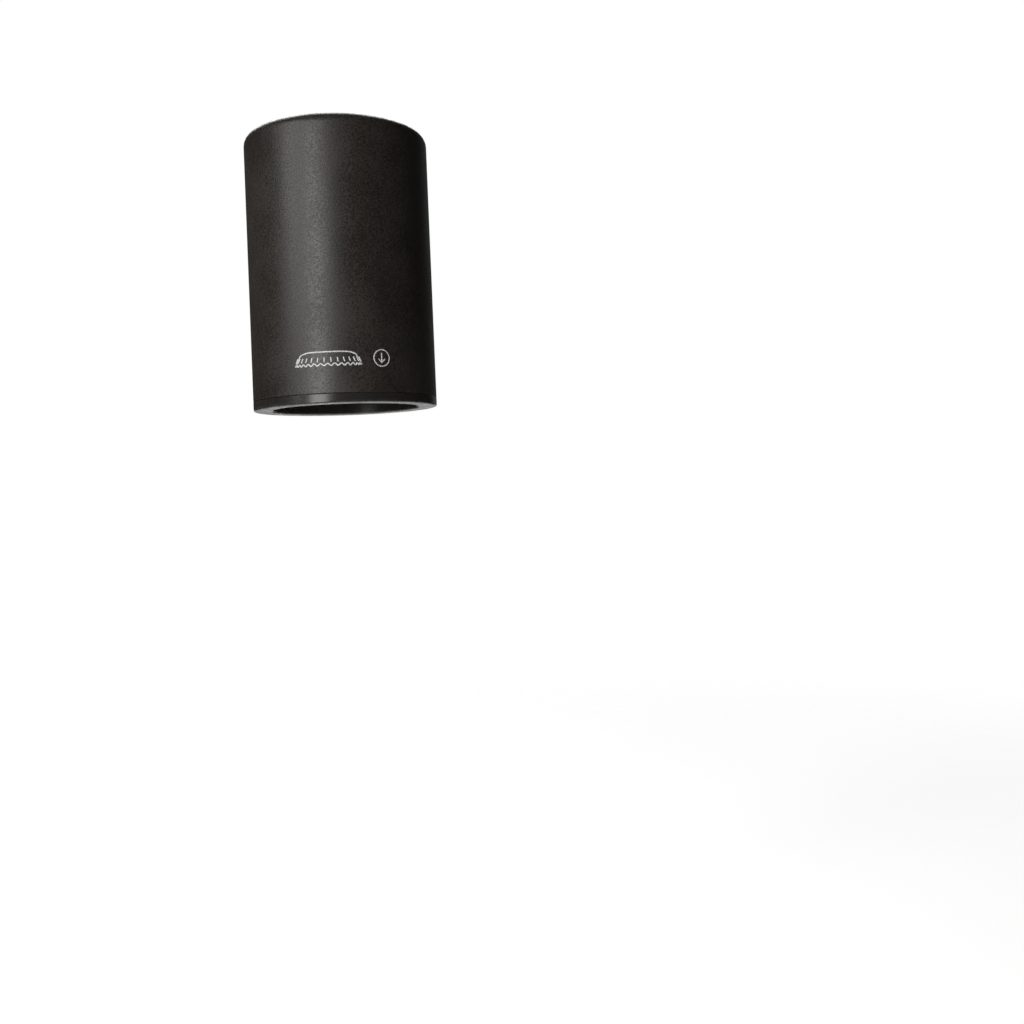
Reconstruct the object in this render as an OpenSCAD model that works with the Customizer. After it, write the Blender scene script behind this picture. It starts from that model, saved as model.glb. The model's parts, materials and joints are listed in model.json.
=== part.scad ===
// Push-down crown-cap opener: a closed sleeve pressed over a capped bottle.
// A carrier inside rides up against a spring, a cone spreads three rocking jaws,
// and their hooks close under the cap's skirt and lift it off.
// Millimetres. +Z is up, the rim stands on Z = 0 and Z is the axis of the sleeve.

/* [Body] */
// Outside diameter of the sleeve
body_d = 54; // [54:0.5:58]
// Height from the rim to the closed top
body_h = 81; // [80:0.5:84]
// Wall of the drawn sleeve
sleeve_wall = 1.4; // [1.2:0.1:1.5]
// Radius of the rounded top edge
top_edge_r = 2; // [1.6:0.1:3]
// Inside diameter of the mouth
mouth_d = 43; // [42:0.5:43.5]
// Height of the visible band of the base ring
band_h = 2.5; // [2:0.1:3]

/* [Crown cap] */
// Radius of the pocket that takes the crown cap
cap_pocket_r = 16.9; // [16.8:0.1:17]
// Height above the rim of the face that stops on the cap
stop_z = 27; // [26.8:0.1:27.2]

/* [Mechanism] */
// Travel of the carrier inside the sleeve
stroke = 12; // [8:0.5:12]
// Turn of each jaw over the full stroke, in degrees
jaw_turn = 31.5; // [20:0.5:31.5]
// Travel of the sprung magnet plunger
plunger_travel = 2.3; // [1.5:0.1:2.3]
// Thickness of each jaw
jaw_w = 6; // [5:0.5:6]
// Radius of the jaw pins
pin_r = 1.24; // [1:0.02:1.24]

/* [Hidden] */
$fn = 96;
// Overlap that fuses two shapes, and the overshoot of a cut
TINY = 0.01;
OVER = 1;
// Close fit, slip fit, and the gap round a face that seats without load
fine_gap = 0.05;
slip = 0.1;
seat_gap = 0.2;

// Sleeve and its closed top
body_r = body_d / 2;
bore_r = body_r - sleeve_wall;
top_wall = 1.6;
ceiling_z = body_h - top_wall;
seam_gap = 0.3;
seam_bevel = 0.25;
sleeve_z = band_h + seam_gap;
boss_r = 5.5;
boss_z = 72;
boss_thread_r = 1.9;
boss_blind_z = ceiling_z - 0.4;
snap_z = 6.4;
snap_h = 1.2;
snap_depth = 0.35;

// Base ring
mouth_r = mouth_d / 2;
spigot_r = bore_r - slip;
spigot_z = 8.4;
rim_fillet = 1;
mouth_bevel = 0.5;
core_in_r = mouth_r + 1.5;
core_out_r = spigot_r - 1.4;
core_floor_z = 3.2;
core_ribs = 12;
core_rib_w = 1;
bead_ramp = 0.3;
bead_flat = 0.2;

// Buffer ring, with a shallow groove round its top
buffer_h = 1;
buffer_in_r = mouth_r + 0.4;
buffer_out_r = spigot_r - 0.2;
buffer_groove_r = 0.5;
buffer_groove_depth = 0.4;

// Carrier, which rests on the buffer ring
slide_gap = 0.3;
carrier_r = bore_r - slide_gap;
carrier_z = spigot_z + buffer_h + slip;
carrier_bevel = 1;
guide_top_z = 17.6;
core_z = guide_top_z + slip;
web_top_z = stop_z + 5.3;
wall_r = carrier_r - 2.8;
wall_top_z = 40;
skirt_r = carrier_r - 1.4;
slot_in_r = 14.2;
slot_out_r = carrier_r - 0.9;
slot_top_z = wall_top_z - 1;
side_gap = 0.3;
spring_room = 2.9;
pocket_z = 25.5;
pocket_r = 2.1;
pocket_turn = 12;

// Jaw pivot and the two working points of a jaw, measured from the pivot at rest
jaws = 3;
jaw_angle = 90;
pivot_r = 21.5;
pivot_z = stop_z - 0.5;
pin_fit = 0.02;
jaw_fit = 0.06;
pin_half = sqrt(pow(carrier_r, 2) - pow(pivot_r + pin_r, 2)) - slip;
eye_r = 2.6;
nose_r = 1.5;
nose_at = [8 - pivot_r, 44.4 - pivot_z];
arm_root_half = 1.9;
arm_tip_half = 1.35;
hook_tip = [-4.7, -6.8];
hook_under = hook_tip[1] - 1.6;

// Spreader cone
cone_z = web_top_z + stroke + seat_gap;
cone_wall_r = 19.9;
cone_steps = 12;
cone_bore_r = 4.5;
cone_top_z = ceiling_z - seat_gap;
cone_skin = 2;
cone_hollow = 6;
cone_ribs = 6;
cone_rib_w = 1.6;
cone_floor_z = 70;

// Cone screw and its washer
screw_clear_r = boss_thread_r + 0.3;
washer_h = 0.6;
cone_head_z = cone_floor_z - washer_h;
cone_head_r = 3.8;
cone_head_h = 2.4;
cone_head_dome_r = 5;
cone_screw_tip_z = boss_blind_z - 1.5;

// Return spring and the two rings it bears on
seat_h = 1.2;
seat_in_r = cone_wall_r + 0.3;
seat_collar_w = 1;
seat_collar_h = 1.6;
low_seat_h = 0.8;
coil_r = bore_r - 1.9;
coil_wire_r = 0.8;
coil_turns = 7;
coil_steps = 26;
coil_sides = 10;
coil_ease = 0.45;
wire_gap = 0.02;

// Torsion springs of the jaws
jaw_coil_r = 1.85;
jaw_wire_r = 0.27;
jaw_coil_turns = 3;
jaw_coil_steps = 14;
jaw_coil_gap = 0.2;
jaw_wire_sides = 6;
hold_leg = 5.2;
arm_leg = 8.2;
arm_leg_hook = 1.2;

// Plunger
head_r = 9.3;
recess_r = head_r + 0.3;
head_z = stop_z - plunger_travel;
head_h = 3.6;
recess_top_z = stop_z + head_h + 0.2;
stem_r = 2.5;
stem_top_z = 37.4;
head_bevel = 0.4;
head_bevel_h = 1.4;
clip_groove = 0.4;
clip_h = 0.7;
clip_r = 4.1;
clip_mouth = 1.8;
cup_r = 6.3;
cup_h = 2.6;
cup_wall = 0.6;
cup_floor = 0.7;
magnet_inset = 0.15;
groove_in_r = 6.9;
groove_out_r = 8.7;
groove_z = head_z + 1.2;
plunger_wire_r = 0.28;
plunger_coil_turns = 3;
plunger_coil_steps = 20;
plunger_wire_sides = 8;

// Neck guide
funnel_r = 20.6;
funnel_lip_r = 21.2;
funnel_lip_h = 0.4;
throat_h = 1.4;

// Guide screws
screw_at_r = 20.3;
screw_r = 1.2;
screw_fit = 0.03;
screw_head_r = 2.2;
screw_head_h = 1.6;
screw_seat_z = 14;
screw_tip_z = 23.5;

// ---- small helpers ----

// Solid of revolution about Z from a profile of radius and height
module turned() {
    rotate_extrude() children();
}

// Plain ring between two radii and two heights
module ring(r_in, r_out, z0, z1) {
    turned() translate([r_in, z0]) square([r_out - r_in, z1 - z0]);
}

// Cylinder between two heights
module rod(r, z0, z1) {
    translate([0, 0, z0]) cylinder(r = r, h = z1 - z0);
}

// Copies children to each jaw's place, with local X pointing outwards
module at_jaw(i) {
    rotate([0, 0, jaw_angle + (i - 1) * 360 / jaws]) children();
}

// Copies children to the middles of the gaps between the jaws
module between_jaws() {
    for (i = [0:jaws - 1]) rotate([0, 0, jaw_angle + (i + 0.5) * 360 / jaws]) children();
}

// Cross recess cut upwards into a screw head, from height z
module cross_recess(z, half) {
    depth = 1.1;
    slot_w = half * 0.4;
    for (a = [0, 90]) rotate([0, 0, a]) translate([-half, -slot_w / 2, z - TINY])
        cube([2 * half, slot_w, depth]);
}

// Tube of radius r swept along points; ref is a direction that the path never follows
function unit(v) = v / norm(v);
function tangent(p, i) = unit(p[min(i + 1, len(p) - 1)] - p[max(i - 1, 0)]);
function tube_points(p, r, sides, ref) = [
    for (i = [0:len(p) - 1])
        let (t = tangent(p, i), u = unit(cross(t, ref)), v = cross(t, u))
        for (k = [0:sides - 1])
            p[i] + r * (u * cos(360 * k / sides) + v * sin(360 * k / sides))
];
function tube_faces(n, sides) = concat(
    [[for (k = [0:sides - 1]) k]],
    [for (i = [0:n - 2], k = [0:sides - 1])
        let (next = (k + 1) % sides)
            [i * sides + k, (i + 1) * sides + k, (i + 1) * sides + next, i * sides + next]],
    [[for (k = [sides - 1:-1:0]) (n - 1) * sides + k]]
);
module tube(p, r, sides, ref) {
    polyhedron(points = tube_points(p, r, sides, ref), faces = tube_faces(len(p), sides), convexity = 10);
}

// ---- fixed in the sleeve ----

// Drawn aluminium cup with a rounded top edge and a threaded boss inside
module outer_sleeve() {
    color([0.16, 0.16, 0.17]) difference() {
        turned() union() {
            translate([0, sleeve_z]) square([body_r - top_edge_r, body_h - sleeve_z]);
            translate([0, sleeve_z + seam_bevel])
                square([body_r, body_h - sleeve_z - seam_bevel - top_edge_r]);
            polygon([[0, sleeve_z], [body_r - seam_bevel, sleeve_z],
                [body_r, sleeve_z + seam_bevel], [0, sleeve_z + seam_bevel]]);
            translate([body_r - top_edge_r, body_h - top_edge_r]) circle(top_edge_r);
        }
        difference() {
            rod(bore_r, sleeve_z - OVER, ceiling_z);
            rod(boss_r, boss_z, body_h);
        }
        rod(boss_thread_r, boss_z - OVER, boss_blind_z);
        ring(bore_r - OVER, bore_r + snap_depth, snap_z, snap_z + snap_h);
    }
}

// Moulded ring that closes the sleeve: a visible band and a cored spigot with a snap bead
module base_ring() {
    color([0.05, 0.05, 0.055]) difference() {
        turned() difference() {
            union() {
                translate([0, rim_fillet]) square([body_r, band_h - rim_fillet - seam_bevel]);
                square([body_r - rim_fillet, band_h]);
                translate([body_r - rim_fillet, rim_fillet]) circle(rim_fillet);
                polygon([[0, band_h - seam_bevel], [body_r, band_h - seam_bevel],
                    [body_r - seam_bevel, band_h], [0, band_h]]);
                translate([0, band_h - TINY]) square([spigot_r, spigot_z - band_h + TINY]);
                translate([spigot_r - TINY, snap_z + seat_gap]) polygon([[0, 0], [snap_depth, bead_ramp],
                    [snap_depth, bead_ramp + bead_flat], [0, 2 * bead_ramp + bead_flat]]);
            }
            translate([0, -OVER]) square([mouth_r, spigot_z + 2 * OVER]);
            polygon([[0, -TINY], [mouth_r + mouth_bevel, -TINY], [mouth_r, mouth_bevel], [0, mouth_bevel]]);
        }
        difference() {
            ring(core_in_r, core_out_r, core_floor_z, spigot_z + OVER);
            for (i = [0:core_ribs - 1]) rotate([0, 0, (i + 0.5) * 360 / core_ribs])
                translate([mouth_r, -core_rib_w / 2, 0])
                    cube([spigot_r - mouth_r, core_rib_w, spigot_z + 2 * OVER]);
        }
    }
}

// Soft ring that the carrier comes to rest on
module buffer_ring() {
    color([0.35, 0.35, 0.36]) turned() difference() {
        translate([buffer_in_r, spigot_z]) square([buffer_out_r - buffer_in_r, buffer_h]);
        translate([(buffer_in_r + buffer_out_r) / 2,
            spigot_z + buffer_h + buffer_groove_r - buffer_groove_depth]) circle(buffer_groove_r, $fn = 24);
    }
}

// Turn of the jaws, in degrees, after the carrier has moved by s
function turn_at(s) = jaw_turn * s / stroke;
// Centre of a jaw's nose in the sleeve's frame: the nose swings about the pivot as it rises
function nose_path(s) = [
    pivot_r + nose_at[0] * cos(turn_at(s)) + nose_at[1] * sin(turn_at(s)),
    pivot_z - nose_at[0] * sin(turn_at(s)) + nose_at[1] * cos(turn_at(s)) + s
];
// The cone's outline stays one nose radius inside that path, on its upper side
function cone_point(s) =
    let (d = unit(nose_path(s + TINY) - nose_path(s - TINY)))
    nose_path(s) + (nose_r + fine_gap) * [-d[1], d[0]];

// Moulded cone that spreads the jaws, hollow and ribbed, screwed to the sleeve's boss
module spreader_cone() {
    low = cone_point(0);
    slope = unit(cone_point(1) - low);
    foot_r = low[0] - (low[1] - cone_z) * slope[0] / slope[1];
    high = cone_point(stroke);
    shell_z = high[1] + cone_wall_r - high[0];
    hollow_r = boss_r + cone_skin;
    color([0.82, 0.82, 0.8]) difference() {
        turned() polygon(concat(
            [[cone_bore_r, cone_z], [foot_r, cone_z]],
            [for (i = [0:cone_steps]) cone_point(stroke * i / cone_steps)],
            [[cone_wall_r, shell_z], [cone_wall_r, cone_top_z], [boss_r + slip, cone_top_z],
                [boss_r + slip, boss_z], [screw_clear_r, boss_z],
                [screw_clear_r, cone_floor_z], [cone_bore_r, cone_floor_z]]
        ));
        difference() {
            turned() polygon([[hollow_r, high[1] - cone_hollow],
                [hollow_r + cone_skin, high[1] - cone_hollow],
                [cone_wall_r - cone_skin, shell_z + slip], [cone_wall_r - cone_skin, ceiling_z + OVER],
                [hollow_r, ceiling_z + OVER]]);
            for (i = [0:cone_ribs - 1]) rotate([0, 0, i * 360 / cone_ribs])
                translate([boss_r, -cone_rib_w / 2, 0])
                    cube([cone_wall_r - boss_r, cone_rib_w, ceiling_z + 2 * OVER]);
        }
    }
}

module cone_washer() {
    color([0.75, 0.76, 0.78]) ring(screw_clear_r, cone_bore_r - seat_gap, cone_head_z, cone_floor_z);
}

// Pan-head screw driven up through the cone into the boss
module cone_screw() {
    low_z = cone_head_z - cone_head_h;
    color([0.7, 0.71, 0.73]) difference() {
        union() {
            turned() intersection() {
                translate([0, low_z]) square([cone_head_r, cone_head_h]);
                translate([0, low_z + cone_head_dome_r]) circle(cone_head_dome_r);
            }
            rod(boss_thread_r - fine_gap, cone_head_z - TINY, cone_screw_tip_z);
        }
        cross_recess(low_z, cone_head_r / 2);
    }
}

// Pressed steel ring under the ceiling, with a collar that centres the spring
module upper_spring_seat() {
    color([0.75, 0.76, 0.78]) turned() union() {
        translate([seat_in_r, ceiling_z - seat_h]) square([bore_r - seat_gap - seat_in_r, seat_h]);
        translate([seat_in_r, ceiling_z - seat_h - seat_collar_h])
            square([seat_collar_w, seat_h + seat_collar_h]);
    }
}

// Compression spring with closed ends: the pitch eases in and out over the first and last turns
function eased(u) = u * u * (3 - 2 * u);
function coil_rise(u) = (1 - coil_ease) * u + coil_ease * eased(u);
module return_spring() {
    z0 = wall_top_z + low_seat_h + coil_wire_r;
    z1 = ceiling_z - seat_h - coil_wire_r;
    n = coil_turns * coil_steps;
    color([0.7, 0.71, 0.73]) tube(
        [for (i = [0:n]) let (a = 360 * i / coil_steps)
            [coil_r * cos(a), coil_r * sin(a), z0 + (z1 - z0) * coil_rise(i / n)]],
        coil_wire_r - wire_gap, coil_sides, [0, 0, 1]);
}

// ---- carrier and what it holds ----

// Flat steel ring on the carrier's wall
module lower_spring_seat() {
    color([0.75, 0.76, 0.78])
        ring(wall_r + seat_gap, carrier_r - seat_gap, wall_top_z, wall_top_z + low_seat_h);
}

// Room for one jaw and its torsion spring: open downwards, and a relief inside the wall above
module jaw_slot() {
    intersection() {
        translate([slot_in_r, -jaw_w / 2 - side_gap, core_z - OVER])
            cube([slot_out_r, jaw_w + 2 * side_gap + spring_room, slot_top_z - core_z + OVER]);
        rod(slot_out_r, 0, slot_top_z + OVER);
    }
}

// Moulded carrier: cap pocket, stop web, three jaw slots and the wall that slides in the sleeve
module jaw_carrier() {
    color([0.3, 0.31, 0.33]) difference() {
        turned() difference() {
            translate([0, carrier_z]) square([carrier_r, wall_top_z - carrier_z]);
            translate([0, carrier_z - OVER]) square([skirt_r, core_z - carrier_z + OVER]);
            square([cap_pocket_r, stop_z]);
            square([recess_r, recess_top_z]);
            translate([0, web_top_z]) square([wall_r, wall_top_z]);
            square([stem_r + slip, web_top_z + OVER]);
            translate([carrier_r, carrier_z]) polygon([[TINY, -carrier_bevel / 2 - TINY],
                [TINY, carrier_bevel], [0, carrier_bevel], [-carrier_bevel / 2, 0],
                [-carrier_bevel / 2, -carrier_bevel / 2 - TINY]]);
        }
        for (i = [1:jaws]) at_jaw(i) {
            jaw_slot();
            translate([pivot_r, 0, pivot_z]) rotate([90, 0, 0])
                cylinder(r = pin_r + pin_fit, h = 2 * carrier_r, center = true);
        }
        between_jaws() {
            translate([screw_at_r, 0, 0]) rod(screw_r + screw_fit, core_z - OVER, screw_tip_z + seat_gap);
            for (a = [-pocket_turn, pocket_turn]) rotate([0, 0, a]) translate([screw_at_r, 0, 0])
                rod(pocket_r, pocket_z, wall_top_z);
        }
    }
}

// Moulded funnel under the jaws that leads the cap and neck to the middle
module neck_guide() {
    rim_r = skirt_r - slip;
    color([0.07, 0.07, 0.075]) difference() {
        turned() polygon([[funnel_lip_r, carrier_z], [rim_r, carrier_z], [rim_r, guide_top_z],
            [cap_pocket_r, guide_top_z], [cap_pocket_r, guide_top_z - throat_h],
            [funnel_r, carrier_z + funnel_lip_h]]);
        between_jaws() translate([screw_at_r, 0, 0]) {
            rod(screw_head_r + seat_gap, 0, screw_seat_z);
            rod(screw_r + seat_gap, 0, guide_top_z + OVER);
        }
    }
}

// Three screws that hold the guide up against the carrier
module guide_screws() {
    color([0.72, 0.73, 0.75]) between_jaws() translate([screw_at_r, 0, 0]) difference() {
        union() {
            rod(screw_head_r, screw_seat_z - screw_head_h, screw_seat_z);
            rod(screw_r, screw_seat_z - TINY, screw_tip_z);
        }
        cross_recess(screw_seat_z - screw_head_h, screw_head_r * 0.6);
    }
}

// Plain pin, kept in its bore by the sleeve round it
module jaw_pin(i) {
    color([0.8, 0.81, 0.83]) at_jaw(i) translate([pivot_r, 0, pivot_z]) rotate([90, 0, 0])
        cylinder(r = pin_r, h = 2 * pin_half, center = true);
}

// ---- jaws ----

// Shapes of a jaw in its own plane: X outwards and Y up, from the pivot
module arm_outline() {
    along = unit(nose_at);
    side = [-along[1], along[0]];
    polygon([side * arm_root_half, nose_at + side * arm_tip_half,
        nose_at - side * arm_tip_half, -side * arm_root_half]);
}
module hook_outline() {
    polygon([[-2.45, 0], [-2.9, hook_tip[1] + 0.7], [-3.6, hook_tip[1] - 0.05], hook_tip,
        hook_tip + [0, -0.8], [-3.2, hook_under], [0.4, hook_under], [1.3, hook_under + 0.9],
        [2, -1], [1, 0]]);
}

// Steel jaw: an eye on the pin, an arm up to the nose and a hook down to the cap
module jaw(i) {
    color([0.78, 0.79, 0.81]) at_jaw(i) translate([pivot_r, jaw_w / 2, pivot_z]) rotate([90, 0, 0])
        difference() {
            union() {
                cylinder(r = eye_r, h = jaw_w);
                translate([nose_at[0], nose_at[1], 0]) cylinder(r = nose_r, h = jaw_w);
                linear_extrude(jaw_w) arm_outline();
                linear_extrude(jaw_w) hook_outline();
            }
            rod(pin_r + jaw_fit, -OVER, jaw_w + OVER);
        }
}

// Torsion spring beside a jaw: one leg stands against the slot's outer wall, and the other runs
// up the jaw's arm and hooks over its back, so that the spring swings the arm inwards
module jaw_spring(i) {
    y0 = jaw_w / 2 + side_gap + jaw_coil_gap;
    y1 = y0 + spring_room - side_gap - 2 * jaw_wire_r - jaw_coil_gap;
    arm = unit(nose_at);
    back = [arm[1], -arm[0]];
    leg_out = arm_root_half + jaw_wire_r;
    leg_end = arm * arm_leg + back * leg_out;
    hook_end = leg_end + arm * arm_leg_hook;
    a0 = atan2(back[1], back[0]);
    a1 = -360 * jaw_coil_turns;
    n = jaw_coil_steps * jaw_coil_turns;
    path = concat(
        [[hook_end[0], y0 - jaw_w / 3, hook_end[1]], [leg_end[0], y0, leg_end[1]],
            [arm[0] + back[0] * jaw_coil_r, y0, arm[1] + back[1] * jaw_coil_r]],
        [for (k = [0:n]) let (a = a0 + (a1 - a0) * k / n)
            [jaw_coil_r * cos(a), y0 + (y1 - y0) * k / n, jaw_coil_r * sin(a)]],
        [[jaw_coil_r, y1, hold_leg / 2], [jaw_coil_r, y1, hold_leg]]
    );
    color([0.66, 0.67, 0.69]) at_jaw(i) translate([pivot_r, 0, pivot_z])
        tube(path, jaw_wire_r, jaw_wire_sides, [0, 1, 0]);
}

// ---- plunger ----

// Plunger: a wide head that holds the magnet, and a stem that slides through the stop web
module plunger() {
    color([0.85, 0.85, 0.83]) turned() difference() {
        union() {
            translate([0, head_z]) square([head_r, head_h]);
            translate([0, head_z + head_h - TINY]) square([stem_r, stem_top_z - head_z - head_h]);
        }
        square([cup_r + fine_gap, head_z + cup_h + slip]);
        translate([groove_in_r, groove_z]) square([groove_out_r - groove_in_r, head_h]);
        translate([stem_r - clip_groove, web_top_z]) square([OVER, clip_h + slip]);
        polygon([[head_r - head_bevel, head_z], [head_r + OVER, head_z],
            [head_r + OVER, head_z + head_bevel_h]]);
    }
}

// Steel cup that backs the magnet and holds its field towards the cap
module magnet_cup() {
    color([0.7, 0.71, 0.73]) difference() {
        rod(cup_r, head_z + slip, head_z + cup_h);
        rod(cup_r - cup_wall, 0, head_z + cup_h - cup_floor);
    }
}

// Disc magnet
module magnet() {
    color([0.8, 0.8, 0.82])
        rod(cup_r - cup_wall - slip, head_z + magnet_inset, head_z + cup_h - cup_floor);
}

// Light spring in the groove of the head, which pushes the plunger down
module plunger_spring() {
    z0 = groove_z + plunger_wire_r;
    z1 = recess_top_z - plunger_wire_r - wire_gap;
    mid_r = (groove_in_r + groove_out_r) / 2;
    n = plunger_coil_turns * plunger_coil_steps;
    color([0.7, 0.71, 0.73]) tube(
        [for (i = [0:n]) let (a = 360 * i / plunger_coil_steps)
            [mid_r * cos(a), mid_r * sin(a), z0 + (z1 - z0) * coil_rise(i / n)]],
        plunger_wire_r, plunger_wire_sides, [0, 0, 1]);
}

// Snap ring in the stem's groove, open on one side
module plunger_clip() {
    color([0.6, 0.61, 0.63]) difference() {
        ring(stem_r - clip_groove + fine_gap, clip_r, web_top_z + fine_gap, web_top_z + clip_h);
        translate([0, -clip_mouth / 2, web_top_z - OVER])
            cube([clip_r + OVER, clip_mouth, clip_h + 2 * OVER]);
    }
}

outer_sleeve();
base_ring();
buffer_ring();
spreader_cone();
cone_washer();
cone_screw();
upper_spring_seat();
return_spring();
lower_spring_seat();
jaw_carrier();
neck_guide();
guide_screws();
jaw_pin(1);  // jaw_pin_1
jaw_pin(2);  // jaw_pin_2
jaw_pin(3);  // jaw_pin_3
jaw(1);  // jaw_1
jaw(2);  // jaw_2
jaw(3);  // jaw_3
jaw_spring(1);  // jaw_spring_1
jaw_spring(2);  // jaw_spring_2
jaw_spring(3);  // jaw_spring_3
plunger();
magnet_cup();
magnet();
plunger_spring();
plunger_clip();
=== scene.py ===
# %% [markdown]
# # A push-down opener for crown caps
#
# The object is a closed black cylinder, 54 mm across, with a thin moulded ring round its open mouth. A
# sprung carrier slides inside it and holds three rocking steel jaws. All that fits or moves is already
# designed and packed. This script gives it its looks: turned shells with true rounded edges, wound springs,
# softened mouldings, and a finish for each material. Everything is in metres, with the rim standing on Z =
# 0.

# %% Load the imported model
import json
import math

import bmesh
import bpy
import numpy as np
from mathutils import Matrix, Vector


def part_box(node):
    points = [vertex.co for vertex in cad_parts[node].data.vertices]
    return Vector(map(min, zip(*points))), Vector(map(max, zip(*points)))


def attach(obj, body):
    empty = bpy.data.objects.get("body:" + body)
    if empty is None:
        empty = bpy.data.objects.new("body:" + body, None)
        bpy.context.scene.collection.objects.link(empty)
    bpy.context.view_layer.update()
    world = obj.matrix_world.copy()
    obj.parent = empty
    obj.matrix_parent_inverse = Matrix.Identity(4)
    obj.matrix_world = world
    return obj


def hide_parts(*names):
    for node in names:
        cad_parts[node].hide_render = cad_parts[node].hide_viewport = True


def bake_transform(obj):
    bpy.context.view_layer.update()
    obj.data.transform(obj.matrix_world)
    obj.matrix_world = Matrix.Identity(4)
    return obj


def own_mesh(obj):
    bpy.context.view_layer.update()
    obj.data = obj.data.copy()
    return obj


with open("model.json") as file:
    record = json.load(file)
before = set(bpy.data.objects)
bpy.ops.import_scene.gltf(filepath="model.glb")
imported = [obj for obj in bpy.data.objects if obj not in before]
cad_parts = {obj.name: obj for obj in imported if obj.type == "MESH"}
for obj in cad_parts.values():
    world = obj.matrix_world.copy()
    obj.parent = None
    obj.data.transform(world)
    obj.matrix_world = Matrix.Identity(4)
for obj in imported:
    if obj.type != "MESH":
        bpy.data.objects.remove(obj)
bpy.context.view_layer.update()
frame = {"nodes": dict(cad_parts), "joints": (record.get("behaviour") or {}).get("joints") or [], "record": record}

MM = 0.001
nodes = frame["nodes"]

# %% [markdown]
# ## Camera
#
# The opener is seen from a little below its rim, so that the camera looks level along the wall and just
# under the mouth. It stands a third of a metre away, is turned to the right to leave the opener on the left
# of the picture, and is rolled a little because a hand would hold the opener leaning while the model stands
# upright. A small downward shift of the lens lets it look up a degree more, which draws the wall together
# at the top.

# %% Stand the camera
CAMERA_AWAY = 0.3319
CAMERA_DOWN = 0.0242
TURN_RIGHT = math.radians(8.45)
LOOK_UP = math.radians(1.17)
ROLL = math.radians(-2.48)
LENS = 38.67
LENS_SHIFT = -0.05


def camera_matrix(place, turn, pitch, roll):
    """Columns are the camera's right, up and backward directions. Forward is the turned and pitched +Y, right
    is level, and the roll then mixes right and up."""
    forward = np.array([math.sin(turn) * math.cos(pitch), math.cos(turn) * math.cos(pitch), math.sin(pitch)])
    level = np.array([math.cos(turn), -math.sin(turn), 0.0])
    upward = np.cross(level, forward)
    matrix = np.eye(4)
    matrix[:3, 0] = math.cos(roll) * level + math.sin(roll) * upward
    matrix[:3, 1] = math.cos(roll) * upward - math.sin(roll) * level
    matrix[:3, 2] = -forward
    matrix[:3, 3] = place
    return Matrix(matrix.tolist())


camera = bpy.data.objects.new("camera", bpy.data.cameras.new("camera"))
bpy.context.collection.objects.link(camera)
camera.data.lens = LENS
camera.data.sensor_width = 36.0
camera.data.shift_y = LENS_SHIFT
camera.matrix_world = camera_matrix((0.0, -CAMERA_AWAY, -CAMERA_DOWN), TURN_RIGHT, LOOK_UP, ROLL)
bpy.context.scene.camera = camera
print("camera at", [round(v, 3) for v in camera.matrix_world.translation])

# %% [markdown]
# ## Floor, air and lamps
#
# A pale floor lies well below the opener, where the foot of a bottle would stand, and fades out into a
# white surround so that no horizon line crosses the picture. Two tall soft panels stand on the left. The
# key draws one broad upright highlight on the wall, left of the middle, and leaves the right side dark. The
# side panel hangs higher, so it lights the wall's left edge and doesn't show in the ring. Behind the opener
# a high panel lights the top and the floor, a weak one marks the right edge, and a low wide one shines
# along the underside of the rim, which is seen at a grazing angle. A square panel under the mouth lights
# what is inside it.

# %% Make a material with its shader
def new_material(name, **constants):
    """A material whose Principled shader has these constant sockets. Also returns its tree and shader."""
    material = bpy.data.materials.new(name)
    material.use_nodes = True
    shader = material.node_tree.nodes["Principled BSDF"]
    for socket, value in constants.items():
        shader.inputs[socket.replace("_", " ")].default_value = value
    return material, material.node_tree, shader


def add_node(tree, kind, inputs=None, **settings):
    """A node of this kind, with its settings, and each input either linked or given a value."""
    node = tree.nodes.new(kind)
    for key, value in settings.items():
        setattr(node, key, value)
    for key, value in (inputs or {}).items():
        if isinstance(value, bpy.types.NodeSocket):
            tree.links.new(value, node.inputs[key])
        else:
            node.inputs[key].default_value = value
    return node


print("every material starts as a Principled shader")

# %% Common nodes
def compute(tree, operation, *values):
    """Output of a Math node on these values, each a socket or a number."""
    return add_node(tree, "ShaderNodeMath", dict(enumerate(values)), operation=operation).outputs[0]


def remap(tree, value, source=(0.0, 1.0), target=(0.0, 1.0), **settings):
    """Output of a Map Range node, which carries the source range to the target range."""
    ends = {"From Min": source[0], "From Max": source[1], "To Min": target[0], "To Max": target[1]}
    return add_node(tree, "ShaderNodeMapRange", {"Value": value, **ends}, **settings).outputs["Result"]


def noise(tree, place, scale, detail):
    """Output of a Noise node, with this many bumps to a metre of its place."""
    inputs = {"Vector": place, "Scale": scale, "Detail": detail}
    return add_node(tree, "ShaderNodeTexNoise", inputs).outputs["Fac"]


def mix_colours(tree, share, first, second):
    """Output of a Mix node that goes from the first colour to the second."""
    inputs = {"Factor": share, "A": first, "B": second}
    return add_node(tree, "ShaderNodeMix", inputs, data_type="RGBA").outputs["Result"]


WHITE = (1, 1, 1, 1)
print("white is", WHITE)

# %% Lay the floor
FLOOR_Z = -0.19
FLOOR_RADIUS = 3.0
FLOOR_FADE = (0.2, 0.7)
FLOOR_TONE = (0.86, 0.86, 0.855, 1.0)
FLOOR_GLOW = 0.45


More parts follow.
